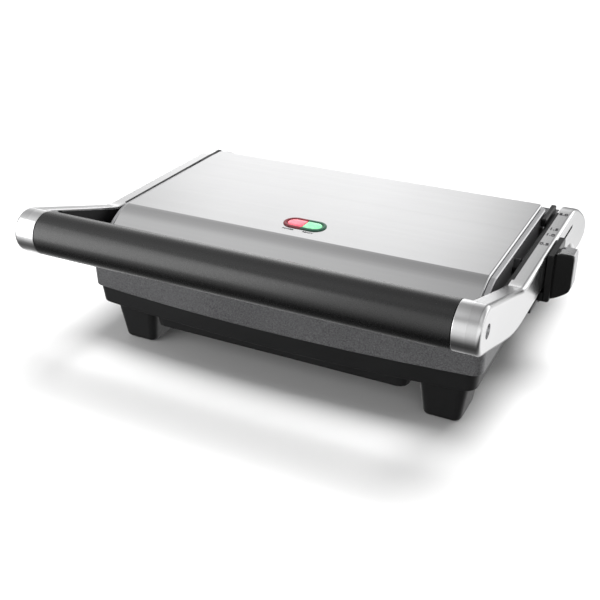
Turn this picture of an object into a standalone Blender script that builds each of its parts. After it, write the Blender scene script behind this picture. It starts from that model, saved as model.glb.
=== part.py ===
"""Panini press: a two-plate contact grill, modelled closed.

Frame: metres, +Z up, +X to the object's right, +Y to its rear.  All driving sizes below are in millimetres,
measured from the handle's axis (y = 0), the mirror plane of the arms (x = 0) and the table (z = 0).  One root
empty moves the whole assembly so that the world origin is the centre of its footprint.
"""
import bpy
import bmesh
import math
from mathutils import Matrix, Vector

MM = 0.001

# ---------------------------------------------------------------- driving dimensions (mm)
HANDLE_Z = 126.4          # handle axis above the table
HANDLE_R = 17.7           # grip and arm ends
GRIP_HALF = 169.9         # half length of the black grip
ARM_OUT = 190.0           # outer face of each arm
ARM_IN = 176.3            # inner face of the metal arm
COVER_IN = 174.2          # inner face of the plastic arm cover
ARM_TOP = 111.2           # straight run of the arm, top
ARM_BOT = 80.2            # straight run of the arm, bottom
HINGE_Y, HINGE_Z = 318.0, 76.0       # arm hinge axis
PIN_R = 5.0
PIVOT_Y, PIVOT_Z = 150.0, 104.5      # lid tilt axis
PIVOT_R = 4.0
LID_HALF = 168.3          # lid side frame
SKIN_HALF = 164.0         # stainless skin
LID_TOP = 118.3
LID_REAR = 256.0
LID_BOT = 88.5
BASE_HALF = 175.5         # base band at its top
BASE_FRONT, BASE_REAR = 53.8, 330.0     # front at its corners
FRONT_BOW = 9.4           # how far the middle of the front stands out
BAND_BOT, BASE_TOP = 55.8, 79.5
TIER_BOT = 39.8
BELLY_BOT = 27.0
REAR_TOP = 88.0           # top of the raised rear housing
PLATE_HALF = 150.8        # both plates
PLATE_FRONT, PLATE_REAR = 65.0, 247.6
LAMP_X, LAMP_Y = -2.0, 122.0         # centre of the twin lamp
LAMP_L, LAMP_W = 38.5, 20.0
SLIDER_Y0, SLIDER_Y1 = 165.4, 207.0  # slider at its front setting
SLIDER_TRAVEL = 69.5
SLIDER_FOOT_Z = 70.2
FOOT_PAD_H = 1.4
GAP = 0.3                 # between touching pieces

WIDTH_MAX_X = 210.7       # outer face of the slider's cap
ARM_REAR = 342.5
X_MID = (WIDTH_MAX_X - ARM_OUT) / 2.0
Y_MID = (ARM_REAR - HANDLE_R) / 2.0

# ---------------------------------------------------------------- scene set-up
for o in list(bpy.data.objects):
    bpy.data.objects.remove(o, do_unlink=True)

press = bpy.data.collections.new("panini_press")
bpy.context.scene.collection.children.link(press)
cutters = bpy.data.collections.new("cutters")
bpy.context.scene.collection.children.link(cutters)


def empty(name, at, parent=None):
    e = bpy.data.objects.new(name, None)
    e.empty_display_size = 0.02
    press.objects.link(e)
    e["at"] = [float(c) for c in at]
    if parent is None:
        e.location = Vector(at) * MM - Vector((X_MID, Y_MID, 0)) * MM
    else:
        e.parent = parent
        e.location = (Vector(at) - Vector(parent["at"])) * MM
    return e


ROOT = empty("press_root", (0, 0, 0))
HINGE = empty("arm_hinge_axis", (0, HINGE_Y, HINGE_Z), ROOT)
TILT = empty("lid_tilt_axis", (0, PIVOT_Y, PIVOT_Z), HINGE)
SLIDE = empty("height_slider_rail", (ARM_OUT, SLIDER_Y0, 98.3), HINGE)

MATERIALS = {}


def material(name, rgb, rough, metal):
    m = bpy.data.materials.new(name)
    m.use_nodes = True
    s = m.node_tree.nodes["Principled BSDF"]
    s.inputs["Base Color"].default_value = (*rgb, 1)
    s.inputs["Roughness"].default_value = rough
    s.inputs["Metallic"].default_value = metal
    m.diffuse_color = (*rgb, 1)
    return m


LOOKS = {
    "steel": ((0.74, 0.74, 0.75), 0.30, 1.0),
    "arm_metal": ((0.80, 0.80, 0.81), 0.38, 1.0),
    "black_soft": ((0.018, 0.018, 0.019), 0.45, 0.0),
    "black_plastic": ((0.012, 0.012, 0.012), 0.50, 0.0),
    "charcoal": ((0.085, 0.087, 0.09), 0.55, 0.3),
    "cast": ((0.05, 0.05, 0.05), 0.6, 0.2),
    "zinc": ((0.55, 0.55, 0.56), 0.45, 1.0),
    "rubber": ((0.02, 0.02, 0.02), 0.9, 0.0),
    "brass": ((0.72, 0.52, 0.20), 0.35, 1.0),
    "silver_paint": ((0.62, 0.62, 0.63), 0.4, 0.6),
    "red_lens": ((0.85, 0.12, 0.16), 0.15, 0.0),
    "green_lens": ((0.25, 0.85, 0.50), 0.15, 0.0),
    "board": ((0.05, 0.25, 0.12), 0.6, 0.0),
    "nylon": ((0.75, 0.74, 0.70), 0.5, 0.0),
}


# ---------------------------------------------------------------- modelling helpers
def adopt(obj, at, parent, look):
    """Puts an object, whose mesh is local to `at` (mm), under its parent and gives it its own material."""
    obj.parent = parent
    obj.location = (Vector(at) - Vector(parent["at"])) * MM
    if look:
        rgb, rough, metal = LOOKS[look]
        obj.data.materials.clear()
        obj.data.materials.append(material(obj.name, rgb, rough, metal))
    return obj


def new_object(name, mesh, cutter=False):
    obj = bpy.data.objects.new(name, mesh)
    (cutters if cutter else press).objects.link(obj)
    if cutter:
        obj.hide_render = True
        obj.display_type = "WIRE"
    return obj


def box(name, lo, hi, parent=ROOT, look="black_plastic", cutter=False):
    mid = [(a + b) / 2 for a, b in zip(lo, hi)]
    bm = bmesh.new()
    bmesh.ops.create_cube(bm, size=1.0)
    bmesh.ops.scale(bm, verts=bm.verts, vec=[(b - a) * MM for a, b in zip(lo, hi)])
    me = bpy.data.meshes.new(name)
    bm.to_mesh(me)
    bm.free()
    return adopt(new_object(name, me, cutter), mid, parent, None if cutter else look)


AXES = {
    "X": Matrix.Rotation(math.pi / 2, 4, "Y"),
    "Y": Matrix.Rotation(-math.pi / 2, 4, "X"),
    "Z": Matrix.Identity(4),
}


def rod(name, centre, axis, r, length, seg=24, parent=ROOT, look="zinc", cutter=False, r2=None):
    """A cylinder, or a cone from r to r2 along the axis."""
    bm = bmesh.new()
    bmesh.ops.create_cone(bm, cap_ends=True, segments=seg, radius1=r * MM, radius2=(r if r2 is None else r2) * MM,
                          depth=length * MM)
    bmesh.ops.transform(bm, matrix=AXES[axis], verts=bm.verts)
    me = bpy.data.meshes.new(name)
    bm.to_mesh(me)
    bm.free()
    obj = adopt(new_object(name, me, cutter), centre, parent, None if cutter else look)
    smooth(obj)
    return obj


def smooth(obj, angle=40):
    obj.data.shade_smooth()
    obj.data.set_sharp_from_angle(angle=math.radians(angle))


def turned(name, profile, centre, axis, steps=32, parent=ROOT, look="zinc"):
    """A ring or sleeve: a closed profile of (radius, height) points turned about Z, then laid along the axis.
    The profile runs down its outer side."""
    bm = bmesh.new()
    verts = [bm.verts.new((r * MM, 0, h * MM)) for r, h in profile]
    for a, b in zip(verts, verts[1:] + verts[:1]):
        bm.edges.new((a, b))
    me = bpy.data.meshes.new(name)
    bm.to_mesh(me)
    bm.free()
    obj = new_object(name, me)
    screw = obj.modifiers.new("Turn", "SCREW")
    screw.steps = steps
    screw.render_steps = steps
    screw.use_merge_vertices = True
    screw.merge_threshold = 0.00002
    obj.rotation_euler = {"X": (0, math.pi / 2, 0), "Y": (-math.pi / 2, 0, 0), "Z": (0, 0, 0)}[axis]
    return adopt(obj, centre, parent, look)


def arc(cx, cy, r, a0, a1, n):
    """Points of an arc from angle a0 to a1, in degrees."""
    return [(cx + r * math.cos(math.radians(a0 + (a1 - a0) * i / n)),
             cy + r * math.sin(math.radians(a0 + (a1 - a0) * i / n))) for i in range(n + 1)]


def round_rect(x0, y0, x1, y1, r, n=4):
    pts = []
    for cx, cy, a in ((x1 - r, y0 + r, -90), (x1 - r, y1 - r, 0), (x0 + r, y1 - r, 90), (x0 + r, y0 + r, 180)):
        pts += arc(cx, cy, r, a, a + 90, n)
    return pts


def bowed_rect(x0, y0, x1, y1, r, n, bow=FRONT_BOW):
    """A rounded rectangle whose front edge bows outwards."""
    pts = round_rect(x0, y0, x1, y1, r, n)
    steps = 12
    pts += [(x0 + r + (x1 - x0 - 2 * r) * i / steps, y0) for i in range(1, steps)]
    mid, half = (x0 + x1) / 2, (x1 - x0) / 2
    return [(x, y - bow * (1 - ((x - mid) / half) ** 2) if y < (y0 + y1) / 2 else y) for x, y in pts]


def pill(cx, cy, length, width, n=10):
    r = width / 2
    h = length / 2 - r
    return arc(cx + h, cy, r, -90, 90, n) + arc(cx - h, cy, r, 90, 270, n)


# how an outline's own (u, v) and its extrusion direction lie in the world
PLANES = {
    "XY": Matrix.Identity(3),
    "YZ": Matrix(((0, 0, 1), (1, 0, 0), (0, 1, 0))),
    "XZ": Matrix(((1, 0, 0), (0, 0, -1), (0, 1, 0))),
}


def prism(name, outlines, plane, lo, hi, parent=ROOT, look="black_plastic", cutter=False, taper=None, plain=False):
    """A flat outline (with inner outlines as holes) extruded between lo and hi along the plane's normal.
    taper scales the outline's lower end: (u factor, v factor, u centre, v centre).  plain makes each flat end
    a single face."""
    if outlines and not isinstance(outlines[0][0], (tuple, list)):
        outlines = [outlines]
    curve = bpy.data.curves.new(name + "_outline", "CURVE")
    curve.dimensions = "2D"
    curve.fill_mode = "BOTH"
    curve.extrude = (hi - lo) / 2 * MM
    for outline in outlines:
        spline = curve.splines.new("POLY")
        spline.points.add(len(outline) - 1)
        for p, (u, v) in zip(spline.points, outline):
            p.co = (u * MM, v * MM, 0, 1)
        spline.use_cyclic_u = True
    temp = bpy.data.objects.new(name + "_outline", curve)
    press.objects.link(temp)
    deps = bpy.context.evaluated_depsgraph_get()
    deps.update()
    me = bpy.data.meshes.new_from_object(temp.evaluated_get(deps))
    bpy.data.objects.remove(temp, do_unlink=True)
    bpy.data.curves.remove(curve)
    me.name = name
    bm = bmesh.new()
    bm.from_mesh(me)
    bmesh.ops.remove_doubles(bm, verts=bm.verts, dist=0.00001)
    bmesh.ops.dissolve_degenerate(bm, dist=0.000001, edges=bm.edges)
    if plain:
        bmesh.ops.dissolve_limit(bm, angle_limit=math.radians(0.5), verts=bm.verts, edges=bm.edges)
    if taper:
        fu, fv, cu, cv = taper
        for v in bm.verts:
            if v.co.z < 0:
                v.co.x = (cu + (v.co.x / MM - cu) * fu) * MM
                v.co.y = (cv + (v.co.y / MM - cv) * fv) * MM
    bmesh.ops.recalc_face_normals(bm, faces=bm.faces)
    # a rotated 3x3 frame turns the outline into its plane
    turn = PLANES[plane].to_4x4()
    bmesh.ops.transform(bm, matrix=turn, verts=bm.verts)
    bmesh.ops.recalc_face_normals(bm, faces=bm.faces)
    bm.to_mesh(me)
    bm.free()
    mid = (lo + hi) / 2
    centre = {"XY": (0, 0, mid), "YZ": (mid, 0, 0), "XZ": (0, mid, 0)}[plane]
    obj = new_object(name, me, cutter)
    return adopt(obj, centre, parent, None if cutter else look)


def cut(obj, other, how="DIFFERENCE"):
    m = obj.modifiers.new(how.title() + "_" + other.name, "BOOLEAN")
    m.operation = how
    m.object = other
    m.solver = "EXACT"
    return obj


def add(obj, other):
    """Union with a guide object, which is kept out of the model."""
    other.hide_render = True
    other.display_type = "WIRE"
    return cut(obj, other, "UNION")


def bevel(obj, width, segments=2, angle=40):
    m = obj.modifiers.new("Bevel", "BEVEL")
    m.width = width * MM
    m.segments = segments
    m.limit_method = "ANGLE"
    m.angle_limit = math.radians(angle)
    m.use_clamp_overlap = True
    return obj


def tube(name, points, r, parent, look, seg=2, cyclic=False):
    """A bent rod through its points (mm), a poly curve with closed ends."""
    curve = bpy.data.curves.new(name, "CURVE")
    curve.dimensions = "3D"
    curve.bevel_depth = r * MM
    curve.bevel_resolution = seg
    curve.use_fill_caps = True
    spline = curve.splines.new("POLY")
    spline.points.add(len(points) - 1)
    base = points[0]
    for p, q in zip(spline.points, points):
        p.co = (*[(c - b) * MM for c, b in zip(q, base)], 1)
    obj = bpy.data.objects.new(name, curve)
    press.objects.link(obj)
    return adopt(obj, base, parent, look)


# ---------------------------------------------------------------- base
def base():
    # upper band with its deck: a rounded box that draws in slightly towards its lower edge
    shell = prism("base_shell", bowed_rect(-BASE_HALF, BASE_FRONT, BASE_HALF, BASE_REAR, 8, 4), "XY",
                  BAND_BOT, BASE_TOP, look="charcoal",
                  taper=(0.9975, 0.997, 0, (BASE_FRONT + BASE_REAR) / 2))
    cut(shell, prism("base_cavity", bowed_rect(-BASE_HALF + 4.6, BASE_FRONT + 4.2, BASE_HALF - 4.6, BASE_REAR - 4.2,
                                               4, 2), "XY", BAND_BOT - 5, BASE_TOP - 3, cutter=True))
    cut(shell, box("deck_opening", (-170.2, 276, 70), (170.2, 325.0, 90), cutter=True))
    cut(shell, prism("plate_well", round_rect(-PLATE_HALF - 0.5, PLATE_FRONT - 0.5, PLATE_HALF + 0.5,
                                              PLATE_REAR + 0.5, 6.5, 2), "XY", 70, 90, cutter=True))
    for side, s in (("left", -1), ("right", 1)):
        cut(shell, rod("shell_pin_hole_" + side, (s * 171, HINGE_Y, HINGE_Z), "X", PIN_R + 0.5, 12, 20, cutter=True))
    cut(shell, rod("gland_hole", (96, BASE_REAR - 3, 68), "Y", 7.6, 14, 20, cutter=True))

    # raised housing over the hinge line, open below
    rear = prism("rear_housing", [(268.5, BASE_TOP + GAP), (BASE_REAR - 0.6, BASE_TOP + GAP),
                 *arc(BASE_REAR - 6.6, REAR_TOP - 6, 6, 0, 90, 3), *arc(274.5, REAR_TOP - 6, 6, 90, 180, 3)],
                 "YZ", -BASE_HALF + 1, BASE_HALF - 1, look="charcoal")
    cut(rear, box("rear_cavity", (-BASE_HALF + 4.6, 272.0, 70), (BASE_HALF - 4.6, BASE_REAR - 4.2, REAR_TOP - 2.6),
                  cutter=True))
    for side, s in (("left", -1), ("right", 1)):
        cut(rear, rod("housing_pin_hole_" + side, (s * 171, HINGE_Y, HINGE_Z), "X", PIN_R + 0.5, 12, 20, cutter=True))

    # lower tier: a ring with draft and four screw bosses
    tier = prism("bottom_housing", [bowed_rect(-171.9, 55.2, 171.9, 326, 9, 4),
                                    bowed_rect(-168.5, 58.6, 168.5, 322.6, 6, 2)], "XY", TIER_BOT, BAND_BOT - GAP,
                 taper=(0.993, 0.989, 0, 192))
    for i, (x, y) in enumerate(BOSSES):
        add(tier, rod("screw_boss_%d" % (i + 1), (x, y, 48.6), "Z", 7.5, 11.6, 12, cutter=True))
        cut(tier, rod("boss_hole_%d" % (i + 1), (x, y, 45), "Z", 1.75, 14, 10, cutter=True))

    # floor plate with a shallow pan between the feet
    cover = prism("bottom_cover", bowed_rect(-166.0, 61.0, 166.0, 318.5, 6.0, 2), "XY", TIER_BOT + 0.1, TIER_BOT + 2.5)
    add(cover, prism("cover_pan", round_rect(-117.5, 57.6, 117.5, 300, 8, 3), "XY", BELLY_BOT, TIER_BOT + 0.9,
                     cutter=True, taper=(0.985, 0.985, 0, 180)))
    cut(cover, prism("pan_hollow", round_rect(-114.0, 61.0, 114.0, 296, 6, 2), "XY", BELLY_BOT + 2.4, TIER_BOT + 5,
                     cutter=True, taper=(0.985, 0.985, 0, 180)))
    for i in range(7):
        y = 130 + i * 18
        for s in (-1, 1):
            cut(cover, box("vent_%d_%s" % (i + 1, "l" if s < 0 else "r"), (s * 62 - 28, y - 1.9, BELLY_BOT - 3),
                           (s * 62 + 28, y + 1.9, BELLY_BOT + 5), cutter=True))
    for i, (x, y) in enumerate(BOSSES):
        cut(cover, rod("cover_hole_%d" % (i + 1), (x, y, 41.0), "Z", 2.2, 8, 12, cutter=True))
        screw = rod("cover_screw_%d" % (i + 1), (x, y, TIER_BOT - 1.2), "Z", 3.6, 2.0, 16)
        shank = rod("screw_shank_%d" % (i + 1), (x, y, 43.3), "Z", 1.6, 9.0, 10, cutter=True)
        add(screw, shank)

    # feet: tapered blocks on the cover, each with a rubber pad
    for fore, y0, y1, ty0, ty1 in (("front", 69.2, 107.0, 64.5, 113.0), ("rear", 270.0, 306.0, 264.0, 313.0)):
        for side, s in (("left", -1), ("right", 1)):
            a, b = sorted((s * 126.6, s * 157.6))
            ta, tb = sorted((s * 121.5, s * 163.4))
            foot = prism("foot_%s_%s" % (fore, side), round_rect(ta, ty0, tb, ty1, 6, 2), "XY", FOOT_PAD_H - 0.6,
                         TIER_BOT - 0.3, taper=((b - a) / (tb - ta), (y1 - y0) / (ty1 - ty0), 0, 0))
            # the taper above is about zero, so the lower end is moved back over its own centre
            for v in foot.data.vertices:
                if v.co.z < 0:
                    v.co.x += ((a + b) / 2 - (ta + tb) / 2 * (b - a) / (tb - ta)) * MM
                    v.co.y += ((y0 + y1) / 2 - (ty0 + ty1) / 2 * (y1 - y0) / (ty1 - ty0)) * MM
            cx, cy = (a + b) / 2, (y0 + y1) / 2
            cut(foot, rod("pad_recess_%s_%s" % (fore, side), (cx, cy, 1.4), "Z", 11.3, 4.0, 20, cutter=True))
            rod("foot_pad_%s_%s" % (fore, side), (cx, cy, 1.5), "Z", 11.0, 3.0, 20, look="rubber")

    # lower plate: flat, with a raised rim and a drain groove inside it
    plate = prism("lower_plate", round_rect(-PLATE_HALF, PLATE_FRONT, PLATE_HALF, PLATE_REAR, 6, 2), "XY", 70.5,
                  BASE_TOP + 0.3, look="cast")
    cut(plate, prism("plate_pocket", round_rect(-146, 69.5, 146, 243, 4, 2), "XY", 78.0, 84, cutter=True))
    cut(plate, prism("drain_groove", [round_rect(-144, 71.5, 144, 241, 3.5, 2), round_rect(-138, 77.5, 138, 235, 2, 1)],
                     "XY", 76.2, 82, cutter=True))

    # heater, reflector and thermostat under the plate
    tube("lower_element", element(66.6), 3.2, ROOT, "zinc")
    shield = box("lower_heat_shield", (-140, 78, 58.6), (140, 236, 62.6), look="zinc")
    cut(shield, box("shield_hollow", (-139.2, 78.8, 59.4), (139.2, 235.2, 64), cutter=True))
    stat = rod("lower_thermostat", (30, 150, 53), "Z", 9, 10, 20, look="zinc")
    add(stat, box("thermostat_tabs", (12, 147, 49), (48, 153, 50.2), cutter=True))
    block = box("terminal_block", (70, 292, 43), (112, 306, 56), look="nylon")
    for i in range(3):
        cut(block, rod("terminal_%d" % (i + 1), (77 + 14 * i, 299, 54), "Z", 3.2, 8, 12, cutter=True))

    # cord inlet: a flanged sleeve in the rear wall
    turned("cord_gland", [(4.2, 6), (9.2, 6), (10.5, 3.2), (10.5, 0.3), (7.3, 0.3), (7.3, -7), (4.2, -7)],
           (96, BASE_REAR, 68), "Y", 20, look="black_plastic")

    for side, s in (("left", -1), ("right", 1)):
        a, b = sorted((s * 150.0, s * 169.4))
        bracket = box("hinge_bracket_" + side, (a, 303, 56.4), (b, 324.0, 83.4), look="zinc")
        bevel(bracket, 3, 1)
        cut(bracket, rod("bracket_bore_" + side, (s * 159.7, HINGE_Y, HINGE_Z), "X", PIN_R + 0.06, 30, 24, cutter=True))
        a, b = sorted((s * 149.0, s * 186.0))
        rod("hinge_pin_" + side, ((a + b) / 2, HINGE_Y, HINGE_Z), "X", PIN_R, b - a, 24)

    # stepped ledge that the slider's foot stands on
    top = SLIDER_FOOT_Z - 0.4
    prism("height_stop_rail", [(148.6, top - 3.4), (180.4, top - 3.4), (180.4, top - 8.0), (194.4, top - 8.0),
                               (194.4, top - 12.6), (232, top - 12.6), (232, top - 9.2), (197.8, top - 9.2),
                               (197.8, top - 4.6), (183.8, top - 4.6), (183.8, top), (148.6, top)],
          "YZ", BASE_HALF + 0.5, 185.8)


BOSSES = [(-161.0, 125), (161.0, 125), (-161.0, 250), (161.0, 250)]


def element(z):
    """A flat U-shaped run for a tubular heater."""
    pts = [(-96, 222), (-112, 214)] + arc(-100, 110, 16, 180, 270, 4) + arc(100, 110, 16, 270, 360, 4) + \
          [(112, 214), (96, 222)]
    return [(x, y, z) for x, y in pts]


# ---------------------------------------------------------------- arms and handle
SLOPE = math.degrees(math.atan2(11.4, 33.0))      # the raised front run of the arm, under the handle


def arm_outline():
    """Side view of an arm in (y, z): round front end, raised run, straight run, hooked rear end."""
    top = [(101.5, 111.6), (96, 112.9), (88, 115.6)]                       # the kink, from the rear
    end = arc(0, HANDLE_Z, HANDLE_R, 71.8, 250.9, 14)                      # round end
    low = [(18, 101.9), (44, 92.8), (66, 85.8), (80, 82.4), (92, 80.9), (104, ARM_BOT)]
    rear = [(258, ARM_BOT), (270, 77.4), (281, 71.4), (291, 64.0), (302, 59.4), (318, 57.4), (331, 58.2),
            (339, 61.6), (342.0, 66.0), (ARM_REAR, 70.2), (341, 74.5), (335, 80.2), (326, 86.6), (314, 93.8),
            (301, 100.8), (288, 106.4), (275, 109.8), (262, 111.0)]
    return top + end + low + rear + [(108, ARM_TOP)]


def arms():
    outline = arm_outline()
    for side, s in (("left", -1), ("right", 1)):
        a, b = sorted((s * ARM_IN, s * ARM_OUT))
        arm = prism("arm_" + side, outline, "YZ", a, b, HINGE, "arm_metal", plain=True)
        bevel(arm, 2.4, 2, 50)
        cut(arm, rod("hinge_bore_" + side, (s * 180, HINGE_Y, HINGE_Z), "X", 7.1, 13.2, 24, HINGE, cutter=True))
        a, b = sorted((s * (GRIP_HALF + 0.4), s * (ARM_IN + 1.5)))
        add(arm, rod("arm_end_" + side, ((a + b) / 2, 0, HANDLE_Z), "X", HANDLE_R - 0.15, b - a, 32, HINGE, cutter=True))
        cut(arm, rod("rod_bore_" + side, (s * 175, 0, HANDLE_Z), "X", 8.15, 14.0, 24, HINGE, cutter=True))
        cut(arm, rod("screw_hole_" + side, (s * 184, 0, HANDLE_Z), "X", 2.7, 20, 12, HINGE, cutter=True))
        cut(arm, rod("screw_recess_" + side, (s * 188.6, 0, HANDLE_Z), "X", 5.3, 4.8, 20, HINGE, cutter=True))
        cut(arm, rod("pivot_bore_" + side, (s * 180, PIVOT_Y, PIVOT_Z), "X", PIVOT_R + 0.09, 10, 24, HINGE, cutter=True))
        if s > 0:
            cut(arm, box("slider_slot", (185.4, 178.4, 96.7), (192, 196.6 + SLIDER_TRAVEL, 100.1), HINGE, cutter=True))

        # black inner cover, a little inside the arm's outline
        inner = [(24, 101.9), (44, 95.0), (66, 88.0), (80, 84.6), (93, 83.1), (256, 82.4), (258, 109.2), (103, 109.8),
                 (90, 112.9), (60, 123.0), (24, 135.3)]
        a, b = sorted((s * COVER_IN, s * (ARM_IN - GAP)))
        skin = prism("arm_cover_" + side, inner, "YZ", a, b, HINGE, "black_plastic")
        cut(skin, rod("cover_pivot_" + side, (s * 175, PIVOT_Y, PIVOT_Z), "X", PIVOT_R + 0.8, 8, 20, HINGE, cutter=True))

        # block that limits the lid's tilt: the lid's lug moves in its slot
        a, b = sorted((s * (LID_HALF + 0.9), s * (COVER_IN - GAP)))
        stop = box("tilt_stop_" + side, (a, 230, 83.5), (b, 267.8, 114.6), HINGE, "black_plastic")
        bevel(stop, 1.0, 1)
        a, b = sorted((s * (LID_HALF - 2), s * (COVER_IN - 1.8)))
        cut(stop, box("tilt_slot_" + side, (a, 226, 89.6), (b, 262, 107.8), HINGE, cutter=True))

        turned("hinge_bush_" + side, [(7.0, 4.85), (7.0, -4.85), (5.08, -4.85), (5.08, 4.85)],
               (s * 181.4, HINGE_Y, HINGE_Z), "X", 24, HINGE, "brass")

        # screw in the round end, with a hexagonal socket
        screw = rod("handle_screw_" + side, (s * 187.6, 0, HANDLE_Z), "X", 4.8, 2.2, 20, HINGE)
        a, b = sorted((s * 172, s * 187.2))
        add(screw, rod("handle_screw_shank_" + side, ((a + b) / 2, 0, HANDLE_Z), "X", 2.4, b - a, 12, HINGE, cutter=True))
        cut(screw, rod("hex_socket_" + side, (s * 188.6, 0, HANDLE_Z), "X", 2.2, 2.4, 6, HINGE, cutter=True))

    turned("handle_rod", [(8.0, 181.6), (8.0, -181.6), (2.6, -181.6), (2.6, 181.6)], (0, 0, HANDLE_Z), "X", 24, HINGE,
           "steel")
    turned("handle_grip", [(HANDLE_R - 0.7, GRIP_HALF), (HANDLE_R, GRIP_HALF - 0.9), (HANDLE_R, -GRIP_HALF + 0.9),
                           (HANDLE_R - 0.7, -GRIP_HALF), (8.2, -GRIP_HALF), (8.2, GRIP_HALF)], (0, 0, HANDLE_Z), "X",
           40, HINGE, "black_soft")


# ---------------------------------------------------------------- lid
def lid_profile(inset):
    """Side view of the lid's top and front in (y, z), moved inwards by an inset: flat top, soft bend and a slope
    down to the front lip.  It runs on past the rear wall and the floor, which the plan outline cuts."""
    pts = [(270, LID_TOP), (97.3, LID_TOP), (93.2, LID_TOP - 0.6), (89.2, LID_TOP - 1.8), (84.6, LID_TOP - 3.8),
           (78.8, 110.7), (72.6, 106.6), (63.5, 100.2), (58.6, 96.2), (56.6, 93.6), (56.0, 91.0), (56.0, 60)]
    out = []
    for i, (y, z) in enumerate(pts):
        before = pts[i - 1] if i else (y + 1, z)
        after = pts[i + 1] if i + 1 < len(pts) else (y, z - 1)
        d1 = Vector((y - before[0], z - before[1])).normalized()
        d2 = Vector((after[0] - y, after[1] - z)).normalized()
        n = Vector((-d1.y, d1.x)) + Vector((-d2.y, d2.x))
        n = n.normalized() / max(0.35, n.length / 2)
        out.append((y + n.x * inset, z + n.y * inset))
    return [(270, 60)] + out


def lid_block(name, half, rear, corner, floor, profile, look=None, cutter=False):
    """A block with the plan of the lid, rounded at its rear corners, under a side profile."""
    block = prism(name, round_rect(-half, 30, half, rear, corner, 4), "XY", floor, 128, TILT, look or "steel",
                  cutter=cutter)
    cut(block, prism(name + "_side", profile, "YZ", -180, 180, TILT, cutter=True), "INTERSECT")
    return block


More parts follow.
